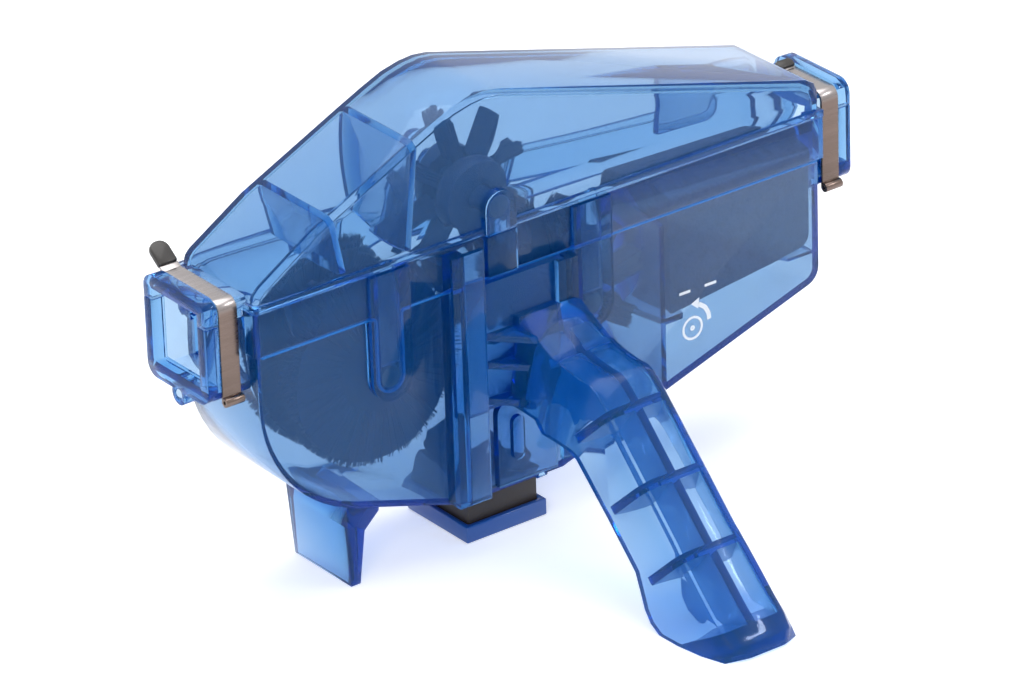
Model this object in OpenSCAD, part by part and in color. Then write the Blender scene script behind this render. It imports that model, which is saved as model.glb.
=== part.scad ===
// Bike chain cleaner: a clear tank and cover that close round a bicycle chain, with three brushes
// turned by the chain, a sponge, a magnet under the sump and a ribbed grip on one side.
// Millimetres, +Z up. The origin is the centre of the magnet tray's underside, the chain runs
// along X from the front port at -X to the rear port at +X, and the grip hangs out to -Y.

/* [Tank] */
// From the tray's centre to the tank's front wall
tank_front = 78.4; // [72:0.2:86]
// From the tray's centre to the tank's rear wall
tank_rear = 103.6; // [98:0.2:112]
// Width of the tank below its rim
tank_w = 32.4; // [30.4:0.2:36]
// Wall of the tank and of the cover
wall = 1.6; // [1.2:0.1:2.2]
// Height of the tank's underside above the ground
floor_z = 14.2; // [12:0.2:16]
// Height of the tank's top edge
seam_z = 89.2; // [87:0.1:91]
// Radius of the round front chamber
chamber_r = 40; // [37:0.5:42]
// Height of the round chamber's centre
chamber_z = 62.9; // [60:0.1:65]
// Where the flat floor begins, forward of the tray's centre
floor_front = 16.4; // [14:0.2:20]
// Where the flat floor ends, behind the tray's centre
floor_rear = 16.6; // [14:0.2:20]
// Slope of the rear floor
rear_slope = 17.6; // [14:0.2:20]
// Radius of the rear lower corner
rear_corner_r = 5; // [3:0.5:8]
// Height of the band round the tank's top
rim_h = 12; // [8:0.5:14]
// How far the rim stands out of the wall
rim_out = 1.1; // [0.6:0.1:1.6]

/* [Cover] */
// Height of the cover's peak above the tank's top edge
cover_h = 39.2; // [36:0.2:44]
// How far the cover's lower flange stands out
flange_out = 1.3; // [0.6:0.1:1.6]
// Height of the cover's lower flange
flange_h = 2; // [1.4:0.1:3]
// Chamfer along the roof's long edges
roof_chamfer = 1.4; // [0.8:0.1:2]
// Gap between the tank and the cover
seam_gap = 0.2; // [0.1:0.05:0.3]
// Thickness of the two splash baffles
baffle_t = 1.8; // [1.2:0.1:2.4]

/* [Ports] */
// How far each port stands out from its end wall
port_out = 13.5; // [12:0.1:18]
// Outer width of a port's throat
throat_w = 25.4; // [23:0.2:27]
// Lowest height of a port's throat
throat_z0 = 66.8; // [65:0.1:70]
// Highest height of a port's throat
throat_z1 = 93; // [91:0.1:96]
// Wall of a port's throat
throat_wall = 1.9; // [1.4:0.1:2.4]
// Height where the cover's half of a port meets the tank's half
port_split = 87.6; // [85:0.1:88.4]
// Thickness of a mouth's lip along the chain
lip_t = 4; // [3:0.1:5]
// How far a lip stands out round its throat
lip_out = 0.9; // [0.6:0.1:1.6]
// How far a lip stands in from its throat's outside
lip_in = 2.7; // [2.2:0.1:3.2]
// Height of the sill inside a mouth
lip_sill = 1.9; // [1:0.1:2.4]
// Corner radius of a lip
lip_r = 4; // [2.5:0.5:5]
// Radius of the eye under each mouth
eye_r = 3; // [2.6:0.1:3.4]
// Radius of the hole through each eye
eye_hole_r = 1.5; // [1.2:0.1:1.8]

/* [Clips] */
// Width of a clip's band along the chain
clip_w = 5.6; // [4.6:0.1:6]
// Thickness of a clip's band
clip_t = 0.8; // [0.6:0.1:1]
// Outer radius of a clip's upper corners
clip_r = 3; // [2:0.5:4]
// Clearance between a clip and its port
clip_gap = 0.3; // [0.2:0.05:0.4]
// Length of the front clip's thumb tab, with its dipped tip
tab_len = 9; // [7:0.2:10]
// Length of the rear clip's end, with its dipped tip
rear_tab_len = 3.6; // [3.2:0.2:7]
// Place of the rear clip's end, beyond the chain's plane
rear_tab_end = 7.4; // [6:0.2:9]
// Outer radius of the roll at a clip's lower end
roll_r = 1.3; // [1.1:0.1:1.5]
// Thickness of the dipped coating on a thumb tab
dip_t = 0.6; // [0.4:0.1:0.8]

/* [Brushes] */
// Height of the chain's centre line
chain_z = 79.7; // [79:0.1:80.4]
// Thickness of a sprocket
sprocket_t = 2.2; // [1.8:0.1:2.4]
// Height of a sprocket's teeth beyond the pitch circle
tooth_out = 2; // [1.6:0.1:2.4]
// Radius of each axle
axle_r = 3; // [2.6:0.1:3.2]
// Running clearance round each axle
axle_gap = 0.2; // [0.1:0.05:0.3]
// Place of the front axle, forward of the tray's centre
front_axle_x = 38.4; // [37:0.2:40]
// Place of the rear axle, behind the tray's centre
rear_axle_x = 26.6; // [25:0.2:28]
// Place of the star brush's axle, forward of the tray's centre
star_axle_x = 2.6; // [1.6:0.2:3.6]
// Tip radius of the front brush
front_tip_r = 27; // [25:0.2:27.6]
// Tip radius of the rear brush
rear_tip_r = 21.8; // [20:0.2:22]
// Tip radius of the star brush
star_tip_r = 21.8; // [20:0.2:22.6]
// Radius of the star brush's drum
drum_r = 10; // [9:0.2:10.8]
// Half of the drum's width
drum_half = 9.2; // [7:0.2:11]
// Radius of the hub that holds the tufts
hub_r = 11.6; // [10:0.2:13]
// Radius of the front brush's hub
front_hub_r = 13; // [11:0.2:15]
// Strands side by side in a tuft
tuft_strands = 4; // [3:1:5]
// Width of a tuft
tuft_w = 6.4; // [5:0.2:7]
// Width of a tuft of the star brush
star_tuft_w = 3.8; // [3.6:0.1:4.4]
// Width of a bristle row of the star brush
star_row_w = 2.8; // [2.2:0.1:3.4]
// Strands round each layer of the front brush
front_strands = 40; // [30:1:48]
// Width of one strand
strand_w = 1.1; // [0.8:0.1:1.3]
// How much the strands' lengths differ
ragged = 1.4; // [0:0.1:2]
// Inner face of each bristle row, from the chain's plane
row_y = 4.4; // [4:0.1:5]
// Width of a bristle row
row_w = 7.4; // [6:0.1:8]

/* [Sponge] */
// Front end of the sponge, behind the tray's centre
sponge_front = 54; // [53:0.2:57]
// Height of the sponge's top
pad_top = 80.4; // [78:0.2:82]
// Side clearance of the sponge
sponge_gap = 0.3; // [0.2:0.05:0.5]
// Width of the groove that the chain runs in
slot_w = 8; // [7:0.2:9]
// Depth of that groove
slot_deep = 5.6; // [4:0.2:7]

/* [Grip] */
// Width of the grip's face
grip_face_w = 20.9; // [18:0.1:24]
// Width of the grip's open underside
grip_back_w = 29; // [26:0.2:31]
// Wall of the grip
grip_wall = 2.2; // [1.8:0.1:2.6]
// How far the grip reaches out from the tank's middle
grip_reach = 110; // [105:0.5:116]
// Height of the grip's face at the tank
grip_top = 65.6; // [63:0.2:68]
// Offset of the grip's middle behind the tray's centre
grip_x = 9.85; // [8:0.05:12]
// Distance between the grip's cross ribs
rib_pitch = 20.8; // [18:0.2:23]
// Thickness of the grip's ribs and spine
rib_t = 2.4; // [1.8:0.1:3]
// Radius of the grip's long edges
edge_r = 3; // [2:0.1:4]
// Width between the rails of the grip's socket
socket_w = 32.4; // [30:0.2:34]

/* [Foot and magnet] */
// Length of the magnet tray
tray_l = 26.2; // [24:0.2:29]
// Width of the magnet tray
tray_w = 26.6; // [24:0.2:29]
// Height of the tray's rim
tray_h = 4.8; // [4:0.2:6]
// Floor of the tray
tray_floor = 1.5; // [1.2:0.1:2]
// Place of the front foot, forward of the tray's centre
foot_x = 48.6; // [46:0.2:52]
// Width of the foot at the ground
foot_w = 25; // [22:0.2:28]

/* [Hidden] */

// Overrun of every cut
over = 1;
// Small clearance between pieces of one assembly
seat = 0.2;
// Steps of an arc
arc_steps = 14;
corner_steps = 5;
full_turn = 360;
// Pitch of a bicycle chain, the radius of its rollers and the teeth of the lower brushes
chain_pitch = 12.7;
roller_r = 3.9;
teeth = 10;
// Tufts round the rear and the star brush, at the chain's pitch on the star brush
tufts = 8;

// Tank
chamber_x = chamber_r - tank_front;
mid_x = (tank_rear - tank_front) / 2;
end_x = (tank_rear + tank_front) / 2;
port_reach = end_x + port_out;
inner_w = tank_w - 2 * wall;
chamber_to_floor = [-floor_front - chamber_x, floor_z - chamber_z];
ramp_end = full_turn + atan2(chamber_to_floor.y, chamber_to_floor.x)
    - acos(chamber_r / norm(chamber_to_floor));
front_slope = full_turn - 90 - ramp_end;
rear_corner_x = tank_rear - rear_corner_r;
rear_corner_z = floor_z + (rear_corner_x - floor_rear) * tan(rear_slope) + rear_corner_r / cos(rear_slope);
rim_w = tank_w + 2 * rim_out;

// Axles
pitch_r = chain_pitch / (2 * sin(180 / teeth));
lower_axle_z = chain_z - pitch_r;
star_axle_z = chain_z + chain_pitch / (2 * sin(180 / tufts));
groove_r = axle_r + axle_gap;
groove_wall = 3.1;
groove_deep = 1.1;
groove_y = tank_w / 2 + groove_deep;
boss_out = 1.6;
boss_y = groove_y + boss_out;
axle_half = groove_y - axle_gap;
tongue_y0 = inner_w / 2 + seat;
tongue_y1 = groove_y - seat;

// Cover
cover_l = tank_front + tank_rear + rim_out;
cover_w = tank_w + 0.4 * rim_out;
cover_z = seam_z + seam_gap;
// Share of the cover's length and of its height for each point of the roof line
roof_shares = [[0, 0.085], [0.003, 0.13], [0.010, 0.165], [0.1024, 0.431], [0.2696, 0.798],
    [0.3153, 0.895], [0.3475, 0.957], [0.3775, 0.990], [0.402, 1], [0.4265, 0.987],
    [0.979, 0.278], [0.9945, 0.232], [1, 0.166]];

// Ports
throat_in = throat_w / 2 - throat_wall;
lip_half = throat_w / 2 + lip_out;
lip_open = throat_w / 2 - lip_in;
lip_x0 = port_reach - lip_t;
clip_mid = port_reach - lip_t - seat - clip_w / 2;
clip_half = throat_w / 2 + clip_gap + clip_t;
clip_top = throat_z1 + clip_gap + clip_t;
clip_low = throat_z0 - clip_gap;
// Share of a thumb tab that stays bare
bare_share = 0.22;
front_tilt = 36;
rear_tilt = 30;
front_tab_r = clip_w / 2 - seat;
rear_tab_r = clip_w / 4;
front_bar_end = clip_half - clip_r;
rear_bar_end = rear_tab_end - rear_tab_len;

// Grip
grip_half = grip_face_w / 2;
back_half = grip_back_w / 2;
root_y = 22;
socket_low = 40.8;
socket_top = 77;
// Share of a rounded edge's radius at the middle of its bend
bend_share = 0.29;
// Share of the grip's reach at its first cross rib
first_rib_share = 0.415;
run = grip_reach - root_y;
// Share of the grip's reach and of its height for each pair of face and back points
grip_shares = [[[0, 1], [0, 0.64]], [[0.068, 0.954], [0.057, 0.64]], [[0.142, 0.907], [0.125, 0.634]],
    [[0.216, 0.884], [0.159, 0.588]], [[0.284, 0.873], [0.205, 0.587]], [[0.324, 0.875], [0.256, 0.584]],
    [[0.358, 0.854], [0.295, 0.578]], [[0.398, 0.808], [0.324, 0.561]], [[0.591, 0.555], [0.466, 0.384]],
    [[0.720, 0.384], [0.595, 0.212]], [[0.745, 0.351], [0.620, 0.145]], [[0.784, 0.302], [0.642, 0.076]],
    [[0.841, 0.229], [0.670, 0.030]], [[0.898, 0.155], [0.710, 0]], [[0.943, 0.104], [0.795, 0]],
    [[0.983, 0.058], [0.886, 0]], [[1, 0.012], [0.966, 0]]];
// Share of the half width at the grip's tip
tip_shares = [1, 1, 1, 1, 1, 1, 1, 1, 1, 1, 1.02, 1.03, 1.04, 1.04, 1.03, 0.95, 0.80];

// Rounded arc of points in the X and Z plane
function arc(cx, cz, r, a0, a1, n = arc_steps) =
    [for (i = [0:n]) let (a = a0 + (a1 - a0) * i / n) [cx + r * cos(a), cz + r * sin(a)]];

// The tank's side outline, drawn in by d
function tank_outline(d, top) = concat(
    [[-tank_front + d, top]],
    arc(chamber_x, chamber_z, chamber_r - d, 180, ramp_end),
    [[-floor_front + d * tan(front_slope / 2), floor_z + d]],
    [[floor_rear - d * tan(rear_slope / 2), floor_z + d]],
    arc(rear_corner_x, rear_corner_z, rear_corner_r - d, rear_slope - 90, 0, corner_steps),
    [[tank_rear - d, top]]);

// The cover's side outline, its long edges drawn in by d
function cover_outline(d) = concat(
    [[-tank_front + d, cover_z]],
    [for (p = roof_shares) [-tank_front + d + p.x * (cover_l - 2 * d), seam_z + p.y * cover_h - d]],
    [[cover_l - tank_front - d, cover_z]]);

// A plate in the X and Z plane, of width w along Y, centred on the chain's plane
module slab(points, w) {
    translate([0, w / 2, 0])
        rotate([90, 0, 0])
            linear_extrude(w)
                polygon(points);
}

// A 2-D child in the X and Z plane, drawn out along Y from y0 to y1
module drawn(y0, y1) {
    translate([0, y1, 0])
        rotate([90, 0, 0])
            linear_extrude(y1 - y0)
                children();
}

// A box given by its lowest and highest corners
module block(low, high) {
    translate(low)
        cube(high - low);
}

// Both the near and the far side of the chain's plane
module both_sides() {
    children();
    mirror([0, 1, 0])
        children();
}

// The front end as drawn, and the rear end as its mirror image about the tank's middle
module at_end(end) {
    translate([mid_x, 0, 0])
        mirror([end == "rear" ? 1 : 0, 0, 0])
            children();
}

// Upright slot with a round end, open upwards to z1
module slot_up(x, z, r, z1) {
    translate([x, z])
        circle(r, $fn = 48);
    translate([x - r, z])
        square([2 * r, z1 - z]);
}

// Upright slot with a round end, open downwards to z0
module slot_down(x, z, r, z0) {
    translate([x, z])
        circle(r, $fn = 48);
    translate([x - r, z0])
        square([2 * r, z - z0]);
}

// Rectangle in the Y and Z plane with two rounded corners at its foot or its head
module half_frame(half, z0, z1, r, round_low) {
    intersection() {
        union() {
            translate([-half, round_low ? z0 + r : z0])
                square([2 * half, z1 - z0 - r]);
            translate([r - half, z0])
                square([2 * half - 2 * r, z1 - z0]);
            for (s = [-1, 1])
                translate([s * (half - r), round_low ? z0 + r : z1 - r])
                    circle(r, $fn = 48);
        }
        translate([-half, z0])
            square([2 * half, z1 - z0]);
    }
}

// A 2-D child in the Y and Z plane, drawn out along X from x0 to x1
module along_x(x0, x1) {
    translate([x0, 0, 0])
        rotate([90, 0, 90])
            linear_extrude(x1 - x0)
                children();
}

// Tank: the lower shell, with its port halves, axle saddles, foot and grip socket
module port_lower() {
    along_x(-port_reach, wall - end_x)
        half_frame(throat_w / 2, throat_z0, port_split, lip_out, true);
    along_x(-port_reach, -lip_x0)
        half_frame(lip_half, throat_z0 - lip_out, port_split, lip_r, true);
    translate([-port_reach, 0, throat_z0 - lip_out - eye_r / 3])
        rotate([0, 90, 0])
            cylinder(h = lip_t, r = eye_r, $fn = 48);
}

module port_lower_cuts() {
    passage_z = throat_z0 + throat_wall;
    block([-lip_x0 - seat, -throat_in, passage_z], [2 * wall - end_x, throat_in, seam_z + over]);
    block([-port_reach - over, -lip_open, passage_z + lip_sill], [-lip_x0, lip_open, port_split + over]);
    translate([-port_reach - over, 0, throat_z0 - lip_out - eye_r / 3])
        rotate([0, 90, 0])
            cylinder(h = lip_t + 2 * over, r = eye_hole_r, $fn = 48);
}

module saddle_outside(x) {
    drawn(tank_w / 2 - wall, boss_y)
        slot_up(x, lower_axle_z, groove_r + groove_wall, seam_z);
}

module saddle_groove(x) {
    drawn(inner_w / 2 - over, groove_y)
        slot_up(x, lower_axle_z, groove_r, seam_z + over);
}

rail_web = 4.6;
rail_lip = 5.6;
rail_out = 5.4;
rail_lip_t = 1.6;
rear_rail_w = 3.2;
rail_top = 88;
latch_half = 9.6;
latch_x = 4;
latch_z0 = 16;
latch_out = 2;
latch_r = 4;
bump_x = 0.2;
bump_r = 1.9;
bump_len = 9;
bump_out = 1.4;

module latch_bump() {
    for (z = [0, bump_len])
        translate([bump_x, latch_z0 + bump_len + z])
            circle(bump_r, $fn = 36);
    translate([bump_x - bump_r, latch_z0 + bump_len])
        square([2 * bump_r, bump_len]);
}

module socket() {
    y_wall = -tank_w / 2;
    y_lip = y_wall - rail_out;
    x0 = -socket_w / 2 - rail_web;
    x1 = socket_w / 2 + rear_rail_w;
    block([x0, y_lip, floor_z + latch_out], [x0 + rail_web, y_wall + wall / 2, rail_top]);
    block([x0, y_lip, floor_z + latch_out], [x0 + rail_web + rail_lip, y_lip + rail_lip_t, rail_top]);
    block([x1 - rear_rail_w, y_lip, floor_z + rail_out], [x1, y_wall + wall / 2, socket_top]);
    block([x1 - 2 * rear_rail_w, y_lip, floor_z + rail_out], [x1, y_lip + rail_lip_t, socket_top]);
    drawn(y_wall - latch_out, y_wall + wall / 2)
        translate([latch_x, 0])
            half_frame(latch_half, latch_z0, socket_low - seat, latch_r, false);
    drawn(y_wall - latch_out - bump_out, y_wall)
        latch_bump();
}

foot_top_t = 5.7;
foot_tip_t = 3;
foot_flare = 1.4;
foot_gusset = 4.5;

module foot() {
    top_z = floor_z + foot_top_t + foot_gusset;
    intersection() {
        slab([[-foot_x - foot_tip_t / 2, 0], [-foot_x + foot_tip_t / 2, 0],
            [-foot_x + foot_top_t / 2, top_z - 2 * foot_gusset],
            [-foot_x + foot_top_t / 2 + foot_gusset, top_z - foot_gusset],
            [-foot_x + foot_top_t / 2 + foot_gusset, top_z],
            [-foot_x - foot_top_t / 2, top_z]], 2 * foot_w);
        translate([-foot_x - foot_w, 0, 0])
            rotate([90, 0, 90])
                linear_extrude(2 * foot_w)
                    polygon([[-foot_w / 2, 0], [foot_w / 2, 0], [foot_w / 2 + foot_flare, top_z],
                        [-foot_w / 2 - foot_flare, top_z]]);
    }
}

divider_x = sponge_front - 2 * wall - seat;
// How far into the sloped floor's wall the divider stands, in walls
divider_seat_share = 0.35;
divider_top = 73;
divider_low = floor_z + (divider_x + wall - floor_rear) * tan(rear_slope) + wall * divider_seat_share;
ledge_t = 1.8;
ledge_l = 4;
ledge_drop_share = 0.112;
pad_low = 46;
pad_rear = tank_rear - wall - sponge_gap;
lug_r = 1.4;

module tank_inside() {
    block([divider_x, -inner_w / 2 - wall / 2, divider_low], [divider_x + wall, inner_w / 2 + wall / 2, divider_top]);
    block([divider_x, -inner_w / 2 - wall / 2, pad_low - ledge_t - seat],
        [sponge_front + ledge_l, inner_w / 2 + wall / 2, pad_low - seat]);
    rear_low = pad_low + (pad_rear - sponge_front) * ledge_drop_share;
    block([pad_rear - 2 * ledge_l, -inner_w / 2 - wall / 2, rear_low - ledge_t - seat],
        [tank_rear - wall / 2, inner_w / 2 + wall / 2, rear_low - seat - ledge_t / 2]);
    both_sides()
        block([-star_axle_x - axle_r, tongue_y0 - seat, seam_z - rim_h],
            [-star_axle_x + axle_r, tongue_y1, star_axle_z - axle_r - axle_gap]);
}

module tank() {
    color([0.25, 0.45, 0.85, 0.55]) {
        difference() {
            union() {
                slab(tank_outline(0, seam_z), tank_w);
                block([-tank_front - rim_out, -rim_w / 2, seam_z - rim_h],
                    [tank_rear + rim_out, rim_w / 2, seam_z]);
                both_sides() {
                    saddle_outside(-front_axle_x);
                    saddle_outside(rear_axle_x);
                    drawn(tank_w / 2 - wall, boss_y)
                        translate([-star_axle_x - groove_r - wall, seam_z - rim_h])
                            square([2 * groove_r + 2 * wall, rim_h]);
                }
                at_end("front") port_lower();
                at_end("rear") port_lower();
                foot();
                socket();
                translate([tray_l / 3, -tank_w / 2 + lug_r, floor_z])
                    rotate([0, 90, 0])
                        cylinder(h = 2 * lug_r, r = lug_r, $fn = 32);
            }
            slab(tank_outline(wall, seam_z + over), inner_w);
            both_sides() {
                saddle_groove(-front_axle_x);
                saddle_groove(rear_axle_x);
            }
            at_end("front") port_lower_cuts();
            at_end("rear") port_lower_cuts();
        }
        tank_inside();
    }
}

// Cover: the upper shell, with its port halves, arches for the star brush and tongues for the axles
tongue_drop = 0.6;
fin_x0 = 62.5;
fin_x1 = 81.6;
fin_t = 2;
fin_low = 92;
fin_r = 4;

module port_upper() {
    corner = clip_r - clip_t - clip_gap;
    along_x(-port_reach, -end_x - rim_out - seat)
        half_frame(throat_w / 2, port_split + seam_gap, throat_z1, corner, false);
    along_x(-end_x - rim_out - 2 * seat, wall - end_x)
        half_frame(throat_w / 2, cover_z, throat_z1, corner, false);
    along_x(-port_reach, -lip_x0)
        half_frame(lip_half, port_split + seam_gap, throat_z1 + 2 * lip_out, lip_r, false);
}

module port_upper_cuts() {
    block([-port_reach - over, -lip_open, port_split - over], [-lip_x0, lip_open, throat_z1 - throat_wall]);
    block([-lip_x0 - seat, -throat_in, port_split - over], [2 * wall - end_x, throat_in, throat_z1 - throat_wall]);
}

module axle_tongue(x) {
    tongue_low = lower_axle_z + axle_r + tongue_drop;
    block([x - axle_r, tongue_y0, tongue_low], [x + axle_r, tongue_y1, cover_z + flange_h]);
}

// Splash baffles: two slanted plates across the cover, ahead of the star brush
front_baffle_top = -58.6;
front_baffle_low = -51.2;
rear_baffle_top = -26.8;
rear_baffle_low = -30.7;

module splash_baffle(top_x, low_x) {
    intersection() {
        slab([[low_x, cover_z + flange_h], [low_x + baffle_t, cover_z + flange_h],
            [top_x + baffle_t, seam_z + cover_h], [top_x, seam_z + cover_h]], inner_w + wall);
        slab(cover_outline(wall / 2), inner_w + wall);
    }
}

module cover_shell() {
    difference() {
        union() {
            hull() {
                slab(cover_outline(0), cover_w - 2 * roof_chamfer);
                slab(cover_outline(roof_chamfer), cover_w);
            }
            block([-tank_front - rim_out, -cover_w / 2 - flange_out, cover_z],
                [tank_rear + rim_out, cover_w / 2 + flange_out, cover_z + flange_h]);
            both_sides()
                drawn(inner_w / 2, boss_y)
                    slot_down(-star_axle_x, star_axle_z, groove_r + wall, cover_z);
            at_end("front") port_upper();
            at_end("rear") port_upper();
        }
        hull() {
            slab([for (p = cover_outline(wall)) [p.x, p.y > cover_z ? p.y : cover_z - over]],
                inner_w - 2 * roof_chamfer);
            slab([for (p = cover_outline(wall + roof_chamfer / 2))
                [p.x, p.y > cover_z ? p.y : cover_z - over]], inner_w);
        }
        both_sides()
            drawn(inner_w / 2 - over, groove_y)
                slot_down(-star_axle_x, star_axle_z, groove_r, cover_z - over);
        at_end("front") port_upper_cuts();
        at_end("rear") port_upper_cuts();
    }
}

// Fin in the cover's rear chamber, above the chain
module chain_fin() {
    intersection() {
        drawn(-fin_t / 2, fin_t / 2) {
            translate([fin_x0, fin_low + fin_r])
                square([fin_x1 - fin_x0, cover_h]);
            translate([fin_x0, fin_low])
                square([fin_x1 - fin_x0 - fin_r, cover_h]);
            translate([fin_x1 - fin_r, fin_low + fin_r])
                circle(fin_r, $fn = 48);
        }
        slab(cover_outline(wall / 2), inner_w);
    }
}

module cover() {
    color([0.35, 0.52, 0.9, 0.5]) {
        cover_shell();
        both_sides() {
            axle_tongue(-front_axle_x);
            axle_tongue(rear_axle_x);
        }
        splash_baffle(front_baffle_top, front_baffle_low);
        splash_baffle(rear_baffle_top, rear_baffle_low);
        chain_fin();
    }
}

// Grip: a ribbed channel, open at its back, on a flange that slides into the tank's socket
flange_x0 = -socket_w / 2 + seat;
flange_x1 = socket_w / 2 - seat;
flange_z1 = socket_top - seat;
flange_y1 = -tank_w / 2 - seat;
flange_y0 = -tank_w / 2 - rail_out + rail_lip_t + seat;
web_t = 1.8;
web_l = 8;
// Heights of the three webs beside the grip's root, from its lower end to its top
web_shares = [0.08, 0.53, 0.88];

// Face and back of section i, in the Y and Z plane
function face_at(i) = [-root_y - grip_shares[i][0].x * run, grip_shares[i][0].y * grip_top];
function back_at(i) = [-root_y - grip_shares[i][1].x * run, grip_shares[i][1].y * grip_top];

// Half of a section: places across the grip and depths below its face
function half_section(half, back, depth, d, drop) = let (r = edge_r - d / 2, s = (back - half) / depth)
    [[half - r, 0], [half - r * bend_share, r * bend_share], [half + s * r, r], [back + s * drop, depth + drop]];

// One section of the grip, its skin drawn in by d and its back let out by drop
function section(i, d, drop) = let (f = face_at(i), b = back_at(i), n = norm(b - f), u = (b - f) / n,
        half = grip_half * tip_shares[i] - d, back = back_half * tip_shares[i] - d,
        h = half_section(half, back, n - d, d, drop),
        ring = concat([for (q = h) [-q.x, q.y]], [for (k = [len(h) - 1:-1:0]) h[k]]))
    [for (q = ring) [grip_x + q.x, f.x + u.x * (d + q.y), f.y + u.y * (d + q.y)]];

// The grip's outside or inside between sections first and last
module grip_loft(d, drop, first, last) {
    n = last - first + 1;
    m = 8;
    points = [for (i = [first:last]) each section(i, d, drop)];
    sides = [for (k = [0:n - 2]) for (j = [0:m - 1]) let (a = m * k + j, b = m * k + (j + 1) % m)
        each [[a, b + m, b], [a, a + m, b + m]]];
    ends = [for (j = [1:m - 2]) each [[0, j, j + 1], [m * (n - 1), m * (n - 1) + j + 1, m * (n - 1) + j]]];
    polyhedron(points, concat(sides, ends), convexity = 6);
}

module grip() {
    last = len(grip_shares) - 1;
    fall = atan2(face_at(9).y - face_at(7).y, face_at(9).x - face_at(7).x) - 180;
    rib_y = -root_y - first_rib_share * run;
    rib_z = face_at(7).y + (rib_y - face_at(7).x) * tan(fall);
    side_x = grip_x - grip_half;
    web_h = grip_top - socket_low - web_t;
    color([0.2, 0.42, 0.85, 0.6]) {
        difference() {
            grip_loft(0, 0, 0, last);
            grip_loft(grip_wall, grip_wall, 1, last - 2);
        }
        intersection() {
            grip_loft(0, 0, 0, last);
            union() {
                block([grip_x - rib_t / 2, -grip_reach, 0], [grip_x + rib_t / 2, -root_y, grip_top]);
                for (k = [-1:2])
                    translate([grip_x - back_half, rib_y, rib_z])
                        rotate([fall, 0, 0])
                            translate([0, -k * rib_pitch - rib_t / 2, -grip_back_w / 2])
                                cube([grip_back_w, rib_t, grip_back_w]);
            }
        }
        block([flange_x0, flange_y0, socket_low], [flange_x1, flange_y1, flange_z1]);
        block([side_x, -root_y - seat, socket_low], [flange_x1 - rear_rail_w - seat, flange_y1 - wall, grip_top]);
        for (share = web_shares)
            translate([0, 0, socket_low + share * web_h])
                linear_extrude(web_t)
                    polygon([[flange_x0 + rail_lip + seat, flange_y0], [side_x + seat, flange_y0],
                        [side_x + seat, -root_y - web_l], [side_x - seat, -root_y - web_l]]);
    }
}

// Magnet and the tray that holds it against the sump's underside
magnet_gap = 0.2;

module magnet() {
    color([0.16, 0.13, 0.12])
        block([-tray_l / 2 + wall + magnet_gap, -tray_w / 2 + wall + magnet_gap, tray_floor],
            [tray_l / 2 - wall - magnet_gap, tray_w / 2 - wall - magnet_gap, floor_z]);
}

module magnet_tray() {
    color([0.1, 0.35, 0.8, 0.8])
        difference() {
            block([-tray_l / 2, -tray_w / 2, 0], [tray_l / 2, tray_w / 2, tray_h]);
            block([-tray_l / 2 + wall, -tray_w / 2 + wall, tray_floor],
                [tray_l / 2 - wall, tray_w / 2 - wall, tray_h + over]);
        }
}

// Clips: a spring strip up each port's near side and over its top, with a dipped tip at its free end
// A strip's mitred bend by tilt, with its end of length l beyond the bend
module strip_bend(tilt, l) {
    polygon([[-clip_t, 0], [0, 0], [l * cos(tilt), l * sin(tilt)],
        [l * cos(tilt) - clip_t * sin(tilt), l * sin(tilt) + clip_t * cos(tilt)],
        [-clip_t * tan(tilt / 2), clip_t], [-clip_t, clip_t]]);
}

module clip(bar_end, tilt, tab) {
    color([0.72, 0.68, 0.62])
        translate([-clip_mid - clip_w / 2, 0, 0])
            along_x(0, clip_w)
                difference() {
                    union() {
                        difference() {
                            half_frame(clip_half, clip_low, clip_top, clip_r, false);
                            half_frame(clip_half - clip_t, clip_low - over, clip_top - clip_t, clip_r - clip_t, false);
                            translate([bar_end, clip_low - over])
                                square([2 * clip_half, 2 * clip_top]);
                        }
                        translate([bar_end, clip_top - clip_t])
                            strip_bend(tilt, bare_share * tab);
                        translate([clip_t - clip_half - roll_r, clip_low])
                            circle(roll_r, $fn = 48);
                    }
                    translate([clip_t - clip_half - roll_r, clip_low])
                        circle(roll_r - clip_t, $fn = 24);
                }
}

module clip_tip(bar_end, tilt, tab, r) {
    dipped = tab - bare_share * tab;
    color([0.14, 0.12, 0.12])
        translate([-clip_mid, bar_end, clip_top - clip_t])
            rotate([tilt, 0, 0])
                translate([0, bare_share * tab, -dip_t])
                    linear_extrude(clip_t + 2 * dip_t)
                        half_frame(clip_w / 2, 0, dipped, r, false);
}

// Brushes
bore_gap = 0.05;
bore_r = axle_r + bore_gap;
hub_sides = 12;
sleeve_r = 5.4;
row_split = 0.4;

module axle(x, z) {
    color([0.13, 0.13, 0.17])
        drawn(-axle_half, axle_half)
            translate([x, z])
                circle(axle_r, $fn = 48);
}

// Sprocket with blunt teeth that take the chain's rollers between them
module sprocket(x) {
    root_r = pitch_r - roller_r;
    tip_r = pitch_r + tooth_out;
    base = pitch_r * sin(180 / teeth) - roller_r;
    color([0.16, 0.16, 0.22])
        translate([x, 0, lower_axle_z])
            difference() {
                union() {
                    drawn(-sprocket_t / 2, sprocket_t / 2) {
                        circle(root_r, $fn = 72);
                        for (i = [0:teeth - 1])
                            rotate(i * full_turn / teeth)
                                polygon([[0, -base - tooth_out], [root_r, -base - tooth_out],
                                    [pitch_r, -base], [tip_r, -base / 2], [tip_r, base / 2],
                                    [pitch_r, base], [root_r, base + tooth_out], [0, base + tooth_out]]);
                    }
                    drawn(-row_y + seat, row_y - seat)
                        circle(axle_r + wall, $fn = 48);
                }
                drawn(-row_y - over, row_y + over)
                    circle(bore_r, $fn = 48);
            }
}

// Length of strand i, which differs a little from its neighbours
function strand_tip(i, r) = r - ragged * abs(sin(i * 77));

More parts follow.
